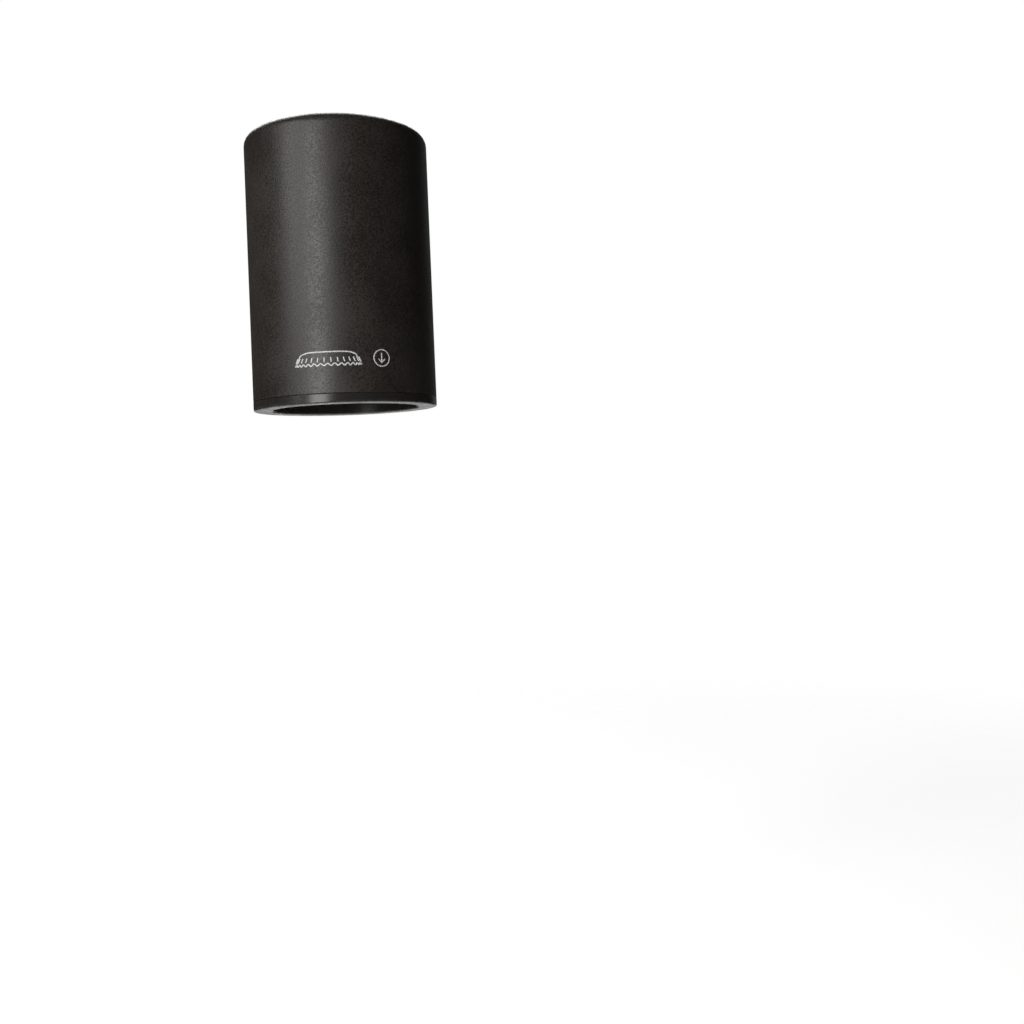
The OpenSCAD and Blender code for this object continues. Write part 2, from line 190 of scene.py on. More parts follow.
def disc_floor(radius, height, rings=12, sides=96):
    """A flat disc: a point stands at a ring's radius along a side's direction, and the rings run together
    into one point in the middle."""
    turn = np.linspace(0, 2 * np.pi, sides, endpoint=False)
    reach = radius * np.arange(1, rings + 1) / rings
    xy = reach[:, None, None] * np.stack([np.cos(turn), np.sin(turn)], -1)[None]
    points = np.concatenate([[[0, 0]], xy.reshape(-1, 2)])
    points = np.c_[points, np.full(len(points), height)]
    ring, side = np.meshgrid(np.arange(rings - 1), np.arange(sides), indexing="ij")
    after = (side + 1) % sides
    quads = 1 + np.stack([ring * sides + side, (ring + 1) * sides + side,
                          (ring + 1) * sides + after, ring * sides + after], -1).reshape(-1, 4)
    fan = np.stack([np.zeros(sides, int), 1 + np.arange(sides), 1 + (np.arange(sides) + 1) % sides], -1)
    mesh = bpy.data.meshes.new("floor")
    mesh.from_pydata(points.tolist(), [], fan.tolist() + quads.tolist())
    return mesh


def floor_material():
    """Pale paper. Far from the middle it turns transparent, so that it runs into the white surround. To the
    camera it adds a little light of its own, so that it reads as white without lighting the opener more."""
    material, tree, shader = new_material(
        "floor_paper", Roughness=0.9, Base_Color=FLOOR_TONE, Emission_Color=WHITE)
    place = add_node(tree, "ShaderNodeTexCoord").outputs["Object"]
    away = add_node(tree, "ShaderNodeVectorMath", {0: place}, operation="LENGTH").outputs["Value"]
    fade = remap(tree, away, source=FLOOR_FADE, interpolation_type="SMOOTHSTEP")
    seen = add_node(tree, "ShaderNodeLightPath").outputs["Is Camera Ray"]
    tree.links.new(compute(tree, "MULTIPLY", seen, FLOOR_GLOW), shader.inputs["Emission Strength"])
    clear = add_node(tree, "ShaderNodeBsdfTransparent").outputs["BSDF"]
    mixed = add_node(tree, "ShaderNodeMixShader", {"Fac": fade, 1: shader.outputs["BSDF"], 2: clear})
    tree.links.new(mixed.outputs[0], tree.nodes["Material Output"].inputs["Surface"])
    return material


floor = bpy.data.objects.new("floor", disc_floor(FLOOR_RADIUS, FLOOR_Z))
bpy.context.collection.objects.link(floor)
floor.data.materials.append(floor_material())
print("floor", round(-FLOOR_Z / MM), "mm below the rim")

# %% Fill the air
SURROUND_SEEN = 1.0
SURROUND_LIGHT = 0.03


def light_world(tree):
    """The camera sees plain white, and everything else is lit by a dimmer white."""
    seen = add_node(tree, "ShaderNodeLightPath").outputs["Is Camera Ray"]
    strength = remap(tree, seen, target=(SURROUND_LIGHT, SURROUND_SEEN))
    background = tree.nodes["Background"]
    background.inputs["Color"].default_value = WHITE
    tree.links.new(strength, background.inputs["Strength"])


world = bpy.data.worlds.new("surround")
bpy.context.scene.world = world
world.use_nodes = True
light_world(world.node_tree)
bpy.context.scene.view_settings.view_transform = "Standard"
print("surround: seen", SURROUND_SEEN, "and lighting", SURROUND_LIGHT)

# %% Hang the lamps
def soft_panel(name, turn, lift, away, width, height, watts, lean=0.0, aim=(0, 0, 0.04)):
    """A flat lamp that faces aim from this distance. turn is its bearing from the front, to the left below
    zero, lift its height above level, and lean turns the panel about the line to its aim."""
    turn, lift, lean = math.radians(turn), math.radians(lift), math.radians(lean)
    data = bpy.data.lights.new(name, "AREA")
    data.shape, data.size, data.size_y, data.energy = "RECTANGLE", width, height, watts
    back = Matrix.Rotation(turn, 4, "Z") @ Matrix.Rotation(math.pi / 2 - lift, 4, "X")
    place = Matrix.Translation(aim) @ back @ Matrix.Rotation(lean, 4, "Z") @ Matrix.Translation((0, 0, away))
    lamp = bpy.data.objects.new(name, data)
    bpy.context.collection.objects.link(lamp)
    lamp.matrix_world = place
    lamp.visible_camera = False


soft_panel("key", turn=-31, lift=6, away=0.8, width=0.28, height=0.6, watts=6.6, lean=-22)
soft_panel("side", turn=-58, lift=22, away=0.8, width=0.16, height=0.5, watts=2.6, lean=-15)
soft_panel("behind_right", turn=150, lift=10, away=0.8, width=0.3, height=0.6, watts=0.08)
soft_panel("behind_low", turn=180, lift=-3.5, away=1.5, width=1.2, height=0.16, watts=0.6, aim=(0, 0, 0))
soft_panel("below", turn=0, lift=-90, away=0.17, width=0.26, height=0.26, watts=0.35, aim=(0, 0, 0))
soft_panel("behind_high", turn=185, lift=48, away=0.9, width=0.7, height=0.5, watts=5.0)
print("lamps:", len(bpy.data.lights))

# %% [markdown]
# ## Effects that several finishes share
#
# A finish is a base colour, a roughness and a fine relief, none of them quite even. Four effects make them
# so, each a node group that puts out plain values: the grain of a blasted or moulded skin, a slow drift
# across the whole part, the rings that turning leaves, and the rub that a rim or an edge takes.

# %% Start a node group
def new_group(name, output, **numbers):
    """An empty shader node group that is given a Place and these numbers and puts out one number. Returns
    the group, what it is given and where its output goes."""
    group = bpy.data.node_groups.new(name, "ShaderNodeTree")
    group.interface.new_socket("Place", in_out="INPUT", socket_type="NodeSocketVector")
    for label, value in numbers.items():
        socket = group.interface.new_socket(label, in_out="INPUT", socket_type="NodeSocketFloat")
        socket.default_value = value
    group.interface.new_socket(output, in_out="OUTPUT", socket_type="NodeSocketFloat")
    return group, group.nodes.new("NodeGroupInput").outputs, group.nodes.new("NodeGroupOutput").inputs[output]


def keep_effect(label, group):
    """Shelves a finished group for the materials."""
    effects[label] = group
    print(label, "has", len(group.nodes), "nodes")


effects = {}

# %% Grain
FINER = 2.7
FINE_SHARE = 0.5


def grain_group():
    """Two noises, the second nearly three times finer and half as strong, added: the peened look of blasted
    metal, or the spark grain of a mould. Size is the distance between grains in metres."""
    group, given, out = new_group("grain", "Height", Size=0.0003)
    scale = compute(group, "DIVIDE", 1.0, given["Size"])
    coarse = noise(group, given["Place"], scale, 1.0)
    fine = noise(group, given["Place"], compute(group, "MULTIPLY", scale, FINER), 0.0)
    group.links.new(compute(group, "MULTIPLY_ADD", fine, FINE_SHARE, coarse), out)
    return group


keep_effect("grain", grain_group())

# %% Drift
DRIFT_SPAN = (0.32, 0.68)


def drift_group():
    """A slow noise, stretched to run from 0 to 1: uneven dye, handling and dust over the whole part."""
    group, given, out = new_group("drift", "Value", Size=0.02)
    slow = noise(group, given["Place"], compute(group, "DIVIDE", 1.0, given["Size"]), 3.0)
    group.links.new(remap(group, slow, source=DRIFT_SPAN), out)
    return group


keep_effect("drift", drift_group())

# %% Rings left by turning
def rings_group():
    """Noise read along one line only: distance from the axis plus height. So it draws fine rings on a flat
    face and fine hoops on a wall, as a turning tool does."""
    group, given, out = new_group("turning_rings", "Height", Pitch=0.0002)
    parts = add_node(group, "ShaderNodeSeparateXYZ", {0: given["Place"]}).outputs
    flat = add_node(group, "ShaderNodeCombineXYZ", {0: parts["X"], 1: parts["Y"]}).outputs[0]
    away = add_node(group, "ShaderNodeVectorMath", {0: flat}, operation="LENGTH").outputs["Value"]
    line = compute(group, "ADD", away, parts["Z"])
    scale = compute(group, "DIVIDE", 1.0, given["Pitch"])
    rings = add_node(group, "ShaderNodeTexNoise", {"W": line, "Scale": scale, "Detail": 2.0},
                     noise_dimensions="1D")
    group.links.new(rings.outputs["Fac"], out)
    return group


keep_effect("rings", rings_group())

# %% Rub along an edge
RUB_PATCHES = 420.0
RUB_SPAN = (0.35, 0.65)


def rub_group():
    """1 at a given height, fading to 0 over a band and broken up by a noise: where hands, bottles and table
    tops have polished an edge."""
    group, given, out = new_group("edge_rub", "Mask", Level=0.0, Band=0.001)
    height = add_node(group, "ShaderNodeSeparateXYZ", {0: given["Place"]}).outputs["Z"]
    off = compute(group, "ABSOLUTE", compute(group, "SUBTRACT", height, given["Level"]))
    near = remap(group, off, source=(0.0, given["Band"]), target=(1.0, 0.0), interpolation_type="SMOOTHSTEP")
    broken = remap(group, noise(group, given["Place"], RUB_PATCHES, 4.0), source=RUB_SPAN)
    group.links.new(compute(group, "MULTIPLY", near, broken), out)
    return group


keep_effect("rub", rub_group())

# %% [markdown]
# ## Finishes
#
# Every finish is built the same way. Drift moves the colour between two close tones and moves the
# roughness, rub makes an edge smoother and a little paler, and grain or rings give the relief through a
# bump. On a dyed and blasted skin, the grain also speckles the tone and the roughness, by how far it stands
# from its middle height. What differs is the numbers: an aluminium skin that was blasted and dyed black is
# soft and grainy, a moulded ring is smoother and shinier, and steel shows its rings.

# %% Build a finish
RELIEF_MIDDLE = 0.5 + FINE_SHARE * 0.5
RUB_POLISH = 0.35


def place_effect(tree, effect, place, **values):
    """Puts a shared effect into a material's tree, reading the piece's own coordinates."""
    node = add_node(tree, "ShaderNodeGroup", node_tree=effects[effect])
    tree.links.new(place, node.inputs["Place"])
    for label, value in values.items():
        node.inputs[label].default_value = value
    return node.outputs[0]


def wire_up(tree, shader, tone, rough, height, distance):
    """Feeds the shader a tone, a roughness and the normal of a bump this high."""
    bump = add_node(tree, "ShaderNodeBump", {"Height": height, "Distance": distance, "Strength": 1.0})
    tree.links.new(tone, shader.inputs["Base Color"])
    tree.links.new(rough, shader.inputs["Roughness"])
    tree.links.new(bump.outputs["Normal"], shader.inputs["Normal"])


def make_finish(name, tones, rough, relief, drift=0.02, speckle=0.0, rub=None, **constants):
    """A finish from two tones, a roughness range, a relief (effect, its size, bump distance), how strongly
    the relief speckles tone and roughness, and an optional rubbed edge (level, band, colour). Constants go
    straight to the shader's sockets."""
    material, tree, shader = new_material(name, **constants)
    place = add_node(tree, "ShaderNodeTexCoord").outputs["Object"]
    slow = place_effect(tree, "drift", place, Size=drift)
    effect, size, distance = relief
    fine = place_effect(tree, effect, place, **{"Size" if effect == "grain" else "Pitch": size})
    specks = compute(tree, "SUBTRACT", fine, RELIEF_MIDDLE)
    uneven = compute(tree, "MULTIPLY_ADD", specks, speckle, slow)
    tone = mix_colours(tree, uneven, (*tones[0], 1), (*tones[1], 1))
    value = remap(tree, uneven, target=rough)
    if rub:
        level, band, worn = rub
        mask = place_effect(tree, "rub", place, Level=level, Band=band)
        tone = mix_colours(tree, mask, tone, (*worn, 1))
        value = compute(tree, "MULTIPLY_ADD", mask, -RUB_POLISH * rough[0], value)
    wire_up(tree, shader, tone, value, fine, distance)
    return material


finishes = {}
print("a rubbed edge is", RUB_POLISH, "less rough")

# %% [markdown]
# ### The sleeve's skin
#
# The sleeve is a drawn aluminium cup, blasted with fine beads, dyed black and sealed. Blasting leaves
# shallow dimples half a millimetre apart, which spread the key lamp into one soft upright band. The dye is
# not a pure black: it is a warm one, and its surface reflects less than a plastic would, so the specular
# level is low. Its top edge, which palms and tables touch, is rubbed a little smoother.

# %% Black anodised aluminium
sleeve_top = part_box("outer_sleeve")[1][2]
finishes["black_sleeve"] = make_finish(
    "black_anodised", tones=[(0.0115, 0.0095, 0.0082), (0.0205, 0.0170, 0.0148)], rough=(0.36, 0.53),
    relief=("grain", 0.00050, 0.000030), drift=0.016, speckle=4.0,
    rub=(sleeve_top - 0.0006, 0.0012, (0.045, 0.043, 0.041)), Specular_IOR_Level=0.30)
print("black_sleeve: rubbed at", round(sleeve_top / MM, 1), "mm")

# %% [markdown]
# ### Mouldings
#
# Four plastics and a rubber. The ring comes from a polished mould and stands out by its shine. The guide
# and the carrier come from spark-worn moulds, and glass fibre makes the carrier's tone uneven. The soft
# ring is dull rubber. The cone and the plunger are acetal, a white and slightly waxy plastic that slides
# well on steel. The rub on the ring lies along its foot, where bottles knock it.

# %% Black and grey plastics
finishes["black_ring"] = make_finish(
    "black_moulding", tones=[(0.0125, 0.0115, 0.0105), (0.0165, 0.0150, 0.0135)], rough=(0.22, 0.27),
    relief=("grain", 0.00022, 0.000003), drift=0.012, rub=(0.0003, 0.0009, (0.024, 0.023, 0.022)),
    Specular_IOR_Level=0.25)
finishes["black_guide"] = make_finish(
    "black_funnel", tones=[(0.014, 0.014, 0.0145), (0.022, 0.022, 0.0225)], rough=(0.36, 0.46),
    relief=("grain", 0.00020, 0.000004), drift=0.006, rub=(0.0096, 0.0006, (0.05, 0.05, 0.05)))
finishes["grey_carrier"] = make_finish(
    "fibre_filled_grey", tones=[(0.067, 0.068, 0.073), (0.081, 0.083, 0.088)], rough=(0.48, 0.56),
    relief=("grain", 0.00040, 0.000008), drift=0.003)
finishes["grey_buffer"] = make_finish(
    "soft_grey_rubber", tones=[(0.12, 0.12, 0.124), (0.165, 0.165, 0.17)], rough=(0.7, 0.85),
    relief=("grain", 0.00018, 0.000006), drift=0.004, Sheen_Weight=0.15, Sheen_Roughness=0.4)
print("plastics and rubber:", ", ".join(list(finishes)[1:]))

# %% White acetal
finishes["white_acetal"] = make_finish(
    "white_acetal", tones=[(0.70, 0.69, 0.65), (0.78, 0.77, 0.735)], rough=(0.34, 0.46),
    relief=("rings", 0.00025, 0.0000025), drift=0.009, Subsurface_Weight=0.08, Subsurface_Scale=0.002)
print("white_acetal: turned rings 0.25 mm apart")

# %% [markdown]
# ### Metals
#
# All the metals are steel, but each is finished its own way. Seats and screws are zinc plated, a bluish
# grey whose crystals make small lighter and darker patches. The jaws are hard steel, tumbled in stones
# until their edges are soft and their faces finely pitted. The magnet is nickel plated, the brightest of
# all.

# %% Plated and tumbled steels
finishes["zinc_steel"] = make_finish(
    "zinc_plating", tones=[(0.44, 0.455, 0.475), (0.60, 0.61, 0.62)], rough=(0.26, 0.42),
    relief=("grain", 0.00025, 0.000003), drift=0.0016, Metallic=1.0)
finishes["jaw_steel"] = make_finish(
    "tumbled_steel", tones=[(0.36, 0.355, 0.35), (0.50, 0.495, 0.485)], rough=(0.28, 0.4),
    relief=("grain", 0.00030, 0.000006), drift=0.004, Metallic=1.0)
finishes["nickel"] = make_finish(
    "nickel_plating", tones=[(0.60, 0.575, 0.53), (0.68, 0.655, 0.61)], rough=(0.12, 0.22),
    relief=("rings", 0.0003, 0.0000008), drift=0.003, Metallic=1.0)
print("metals:", ", ".join(list(finishes)[-3:]))

# %% [markdown]
# ### Spring wire
#
# Spring wire is pulled through a die, which leaves streaks along it. They have to follow the wire round its
# coils, so this finish does not read the piece's place. It reads the two distances that the wire's own
# surface carries, round and along, and a noise that is stretched twenty times along the wire draws the
# streaks.

# %% Drawn wire
WIRE_UV = "wire"
STREAKS = (9000.0, 450.0, 1.0)


def drawn_wire():
    """Streaks: noise of (round, along / 20), which moves both the tone and the relief."""
    material, tree, shader = new_material("drawn_wire", Metallic=1.0)
    along = add_node(tree, "ShaderNodeUVMap", uv_map=WIRE_UV).outputs["UV"]
    stretched = add_node(tree, "ShaderNodeMapping", {"Vector": along, "Scale": STREAKS}).outputs[0]
    streaks = noise(tree, stretched, 1.0, 3.0)
    tone = mix_colours(tree, streaks, (0.30, 0.30, 0.305, 1), (0.62, 0.62, 0.63, 1))
    wire_up(tree, shader, tone, remap(tree, streaks, target=(0.22, 0.42)), streaks, 0.000008)
    return material


finishes["spring_wire"] = drawn_wire()
print("finishes:", ", ".join(sorted(finishes)))

# %% [markdown]
# ## Turned pieces
#
# Most of the opener is turned: a profile of radius and height carried once round the axis. The corners of a
# real pressed or moulded part are never sharp, and it is the small rounds that catch the light. So a
# profile is written as its corners, each with its own radius, and a short routine swaps every corner for an
# arc. All profiles are in millimetres and run clockwise, with the outside of the piece on their left.

# %% Round the corners of a profile
ARC_STEPS = 6


def rounded(corners, closed=True):
    """Swaps each corner (radius, height, round) for an arc tangent to both sides: it starts round * tan(half
    the turn) before the corner. Returns points and outward normals, which are the sides' left hand normals,
    turned steadily along each arc."""
    given = np.array([corner[:2] for corner in corners], float)
    points, normals = [], []
    for i, (here, radius) in enumerate(zip(given, [corner[2] for corner in corners])):
        arriving, leaving = here - given[i - 1], given[(i + 1) % len(given)] - here
        arriving, leaving = arriving / np.linalg.norm(arriving), leaving / np.linalg.norm(leaving)
        if not closed and i in (0, len(given) - 1):
            side = leaving if i == 0 else arriving
            points.append([here])
            normals.append([[-side[1], side[0]]])
            continue
        turn = math.atan2(arriving[0] * leaving[1] - arriving[1] * leaving[0], arriving @ leaving)
        first = here - arriving * radius * math.tan(abs(turn) / 2)
        left = np.array([-arriving[1], arriving[0]])
        angle = math.atan2(left[1], left[0]) + turn * np.linspace(0, 1, ARC_STEPS + 1)
        normal = np.stack([np.cos(angle), np.sin(angle)], -1)
        points.append(first + np.sign(turn) * radius * (left - normal))
        normals.append(normal)
    return np.concatenate(points), np.concatenate(normals)


print("a round corner takes", ARC_STEPS + 1, "points")

# %% Join a grid of points into a surface
def grid_quads(rows, columns, rows_join):
    """Quads between neighbours of a grid whose columns run round and join. With rows_join, the last row joins
    the first. Corners go one row on, one column on and back again, which turns the faces outwards."""
    row, column = np.meshgrid(np.arange(rows if rows_join else rows - 1), np.arange(columns), indexing="ij")
    after, beside = (row + 1) % rows, (column + 1) % columns
    corners = [row * columns + column, after * columns + column,
               after * columns + beside, row * columns + beside]
    return np.stack(corners, -1).reshape(-1, 4)


def pole_fans(rows, columns):
    """Triangles from the first row to one point before it, and from the last row to one point after it. The
    two points are the last ones of the mesh."""
    here = np.arange(columns)
    beside, first_pole, last_row = (here + 1) % columns, rows * columns, (rows - 1) * columns
    start = np.stack([np.full(columns, first_pole), here, beside], -1)
    finish = np.stack([last_row + here, np.full(columns, first_pole + 1), last_row + beside], -1)
    return start.tolist() + finish.tolist()


def make_mesh(name, points, faces, normals=None):
    """A smooth mesh from points in millimetres. normals are the exact ones, where a formula gives them."""
    mesh = bpy.data.meshes.new(name)
    mesh.from_pydata((np.asarray(points) * MM).tolist(), [], faces)
    mesh.shade_smooth()
    if normals is not None:
        mesh.normals_split_custom_set_from_vertices(np.asarray(normals).tolist())
    return mesh


def points_of(mesh):
    """The mesh's points in metres, one to a row."""
    places = np.empty(3 * len(mesh.vertices), np.float32)
    mesh.vertices.foreach_get("co", places)
    return places.reshape(-1, 3)


def volume(mesh):
    """Sum over the triangles of a . (b x c) / 6, in cubic millimetres. It would be negative if the faces
    pointed inwards."""
    mesh.calc_loop_triangles()
    corners = np.empty(3 * len(mesh.loop_triangles), np.int32)
    mesh.loop_triangles.foreach_get("vertices", corners)
    a, b, c = (points_of(mesh)[corners] / MM).astype(float).reshape(-1, 3, 3).transpose(1, 0, 2)
    return float((a * np.cross(b, c)).sum() / 6)


print("3 by 4 points make", len(grid_quads(3, 4, True)), "quads")

# %% Carry a profile round the axis
SIDES = 192


def carried(pairs, turns):
    """Grid of points: row by row the profile's (radius, height), column by column the turn t, at
    (radius cos t, radius sin t, height)."""
    height = np.broadcast_to(pairs[:, None, 1], (len(pairs), len(turns)))
    return np.stack([pairs[:, None, 0] * np.cos(turns), pairs[:, None, 0] * np.sin(turns), height], -1)


def turned(name, corners, closed=True, sides=SIDES, axes=np.eye(3), place=(0, 0, 0)):
    """Surface of revolution of a rounded profile. An open profile starts and ends on the axis, where each end
    becomes a pole. axes and place lay the shape where it belongs."""
    profile, slopes = rounded(corners, closed)
    turns = np.linspace(0, 2 * np.pi, sides, endpoint=False)
    inner = profile if closed else profile[1:-1]
    points = carried(inner, turns).reshape(-1, 3)
    normals = carried(slopes if closed else slopes[1:-1], turns).reshape(-1, 3)
    faces = grid_quads(len(inner), sides, closed).tolist()
    if not closed:
        points = np.concatenate([points, [[0, 0, profile[0, 1]], [0, 0, profile[-1, 1]]]])
        normals = np.concatenate([normals, [[0, 0, 1], [0, 0, -1]]])
        faces += pole_fans(len(inner), sides)
    axes = np.asarray(axes, float)
    return make_mesh(name, points @ axes.T + place, faces, normals @ axes.T)


print("turned pieces have", SIDES, "sides")

# %% Ride a piece where the node it stands for rides
body_of = {node: body for body, members in frame["record"]["behaviour"]["bodies"].items() for node in members}
slot_of = {part["node"]: part["material_slot"] for part in frame["record"]["subparts"]}


def fit(mesh, node):
    """Shows this mesh in place of the node, in the node's finish."""
    piece = bpy.data.objects.new(mesh.name, mesh)
    bpy.context.collection.objects.link(piece)
    mesh.materials.append(finishes[slot_of[node]])
    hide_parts(node)
    print(f"{mesh.name}: {len(mesh.vertices)} points, {volume(mesh):.1f} mm3, in place of {node}")
    return piece


def reach(node):
    """The node's outer radius, lowest height and highest height, in millimetres."""
    low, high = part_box(node)
    return round(high[0] / MM, 2), round(low[2] / MM, 2), round(high[2] / MM, 2)


print("bodies:", sorted(set(body_of.values())))

# %% [markdown]
# ### Sleeve
#
# The sleeve is deep drawn: a disc of aluminium pulled into a cup in one piece, so its wall is even, its
# closed top is flat and its top edge is a true round. A groove near the open end takes the ring's bead, and
# a boss under the top takes the screw that holds the cone. One open profile, from the top's middle over the
# outside and back up inside, makes all of it without a seam.

# %% Sleeve
WALL, TOP_WALL, TOP_ROUND = 1.4, 1.6, 3.0
EDGE_LOW, EDGE_BREAK = 2.72, 0.12
GROOVE_LOW, GROOVE_HIGH, GROOVE_DEEP, NICK = 6.4, 7.6, 0.35, 0.05
BOSS_R, BOSS_LOW, BOSS_ROUND = 5.5, 72.0, 0.3
THREAD_R, THREAD_PAST = 1.9, 0.4
body_r, _, sleeve_high = reach("outer_sleeve")
bore_r, ceiling = body_r - WALL, sleeve_high - TOP_WALL
groove_r = bore_r + GROOVE_DEEP
thread_top = ceiling - THREAD_PAST

sleeve = fit(turned("sleeve_shell", [
    (0, sleeve_high, 0), (body_r, sleeve_high, TOP_ROUND),
    (body_r, EDGE_LOW, EDGE_BREAK), (bore_r, EDGE_LOW, EDGE_BREAK),
    (bore_r, GROOVE_LOW, NICK), (groove_r, GROOVE_LOW, NICK),
    (groove_r, GROOVE_HIGH, NICK), (bore_r, GROOVE_HIGH, NICK),
    (bore_r, ceiling, 0.15), (BOSS_R, ceiling, BOSS_ROUND), (BOSS_R, BOSS_LOW, BOSS_ROUND),
    (THREAD_R, BOSS_LOW, 0.2), (THREAD_R, thread_top, 0.1), (0, thread_top, 0)], closed=False),
    "outer_sleeve")
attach(sleeve, "housing")

# %% [markdown]
# ### Base ring
#
# The ring is moulded. Below the seam it shows a narrow band with rounded edges, and above it a spigot
# stands inside the sleeve. A thick spigot would sink as it cooled, so the mould cores it out and leaves
# twelve ribs. The pocket's floor is therefore a function of the turn as well, which lifts it to a rib's top
# wherever the turn is within half a rib of the rib's middle.

# %% Base ring
MOUTH_R, BAND_TOP, FOOT_ROUND = 21.5, 2.62, 0.4
POCKET_IN, POCKET_OUT, POCKET_FLOOR = 23.0, 24.1, 3.2
RIBS, RIB_WIDTH, RIB_TOP = 12, 1.0, 8.1
RIB_BREAK, RIB_TIP, RIB_FOOT, BETWEEN_RIBS = 0.15, 0.008, 0.002, 14
SPIGOT_GAP = 0.1
BEAD_OUT, BEAD_TOP, BEAD_HIGH, BEAD_LOW, BEAD_FOOT = 0.35, 7.4, 7.1, 6.9, 6.6
_, _, spigot_top = reach("base_ring")
spigot_r = bore_r - SPIGOT_GAP
bead_r = spigot_r + BEAD_OUT


def ribbed_ring(name, corners):
    """Surface of revolution whose pocket points are lifted to the height of the nearest rib: full height up
    to half a width from its middle, less a small bevel, and none beyond. RIB_TIP and RIB_FOOT are turns."""
    profile, slopes = rounded(corners)
    half = RIB_WIDTH / 2 / POCKET_IN
    spread = np.linspace(half + RIB_FOOT, 2 * np.pi / RIBS - half - RIB_FOOT, BETWEEN_RIBS)
    across = np.concatenate([[-half, RIB_TIP - half, half - RIB_TIP, half], spread])
    turns = (np.arange(RIBS)[:, None] * 2 * np.pi / RIBS + across).ravel()
    points, normals = carried(profile, turns), carried(slopes, turns)
    away = np.abs((turns + np.pi / RIBS) % (2 * np.pi / RIBS) - np.pi / RIBS)
    lifted = np.interp(away, [half - RIB_TIP, half, half + RIB_FOOT],
                       [RIB_TOP, RIB_TOP - RIB_BREAK, POCKET_FLOOR])
    pocket = (profile[:, 0] >= POCKET_IN) & (profile[:, 0] <= POCKET_OUT) & (profile[:, 1] < RIB_TOP)
    points[pocket, :, 2] = np.maximum(points[pocket, :, 2], lifted)
    faces = grid_quads(len(profile), len(turns), True).tolist()
    return make_mesh(name, points.reshape(-1, 3), faces, normals.reshape(-1, 3))


ring = fit(ribbed_ring("mouth_ring", [
    (body_r, BAND_TOP, EDGE_BREAK), (body_r, 0, FOOT_ROUND), (MOUTH_R, 0, 0.5), (MOUTH_R, spigot_top, 0.2),
    (POCKET_IN, spigot_top, 0.15), (POCKET_IN, POCKET_FLOOR, 0.3),
    (POCKET_OUT, POCKET_FLOOR, 0.3), (POCKET_OUT, spigot_top, 0.15),
    (spigot_r, spigot_top, 0.25), (spigot_r, BEAD_TOP, 0.05), (bead_r, BEAD_HIGH, 0.1),
    (bead_r, BEAD_LOW, 0.1), (spigot_r, BEAD_FOOT, 0.05), (spigot_r, BAND_TOP, 0.1)]), "base_ring")
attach(ring, "housing")

# %% [markdown]
# ### Rings, washer and seats
#
# The soft ring is the stop of the return stroke. A groove round its top lets it give. The two seats and the
# washer are punched from sheet, which leaves one edge rounded, and the upper seat is drawn down into a
# collar that keeps the spring in the middle.

# %% Buffer ring
BUFFER_BORE = 21.9
GIVE_IN, GIVE_OUT, GIVE_DEEP, GIVE_DRAFT = 23.1, 24.1, 0.4, 0.15
buffer_r, buffer_low, buffer_high = reach("buffer_ring")
give_floor = buffer_high - GIVE_DEEP
buffer = fit(turned("soft_buffer", [
    (buffer_r, buffer_high, 0.15), (buffer_r, buffer_low, 0.1),
    (BUFFER_BORE, buffer_low, 0.1), (BUFFER_BORE, buffer_high, 0.15),
    (GIVE_IN, buffer_high, 0.1), (GIVE_IN + GIVE_DRAFT, give_floor, 0.2),
    (GIVE_OUT - GIVE_DRAFT, give_floor, 0.2), (GIVE_OUT, buffer_high, 0.1)]), "buffer_ring")
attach(buffer, "housing")

# %% Spring seats
SEAT_BORE = 22.7
TOP_SEAT_THICK, COLLAR_OUT, COLLAR_IN = 1.2, 21.2, 20.2
seat_r, seat_low, seat_high = reach("lower_spring_seat")
lower_seat = fit(turned("lower_seat", [
    (seat_r, seat_high, 0.25), (seat_r, seat_low, 0.08),
    (SEAT_BORE, seat_low, 0.08), (SEAT_BORE, seat_high, 0.25)]), "lower_spring_seat")
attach(lower_seat, "carrier")
top_seat_r, collar_low, top_seat_high = reach("upper_spring_seat")
top_seat_low = top_seat_high - TOP_SEAT_THICK
upper_seat = fit(turned("upper_seat", [
    (top_seat_r, top_seat_high, 0.2), (top_seat_r, top_seat_low, 0.2), (COLLAR_OUT, top_seat_low, 0.4),
    (COLLAR_OUT, collar_low, 0.3), (COLLAR_IN, collar_low, 0.3), (COLLAR_IN, top_seat_high, 0.6)]),
    "upper_spring_seat")
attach(upper_seat, "housing")

# %% Washer under the cone's screw
WASHER_BORE = 2.2
washer_r, washer_low, washer_high = reach("cone_washer")
washer = fit(turned("screw_washer", [
    (washer_r, washer_high, 0.06), (washer_r, washer_low, 0.2),
    (WASHER_BORE, washer_low, 0.2), (WASHER_BORE, washer_high, 0.06)], sides=96), "cone_washer")
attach(washer, "housing")

# %% [markdown]
# ### Plunger, magnet and its cup
#
# The plunger is turned from acetal bar: a wide head with a deep groove for its spring and a stem with a
# narrow groove for the snap ring. All of it is still one profile.

# %% Plunger
HEAD_HIGH, HEAD_BEVEL = 28.3, 0.4
STEM_R, CLIP_DEEP = 2.5, 0.4
COIL_IN, COIL_OUT, COIL_FLOOR = 6.9, 8.7, 25.9
head_r, head_low, stem_high = reach("plunger")
_, clip_low, clip_high = reach("plunger_clip")
cup_r, cup_low, cup_high = reach("magnet_cup")
neck_r, neck_low, neck_high = STEM_R - CLIP_DEEP, clip_low - 0.05, clip_high + 0.1
nest_r, nest_high = cup_r + 0.05, cup_high + 0.1

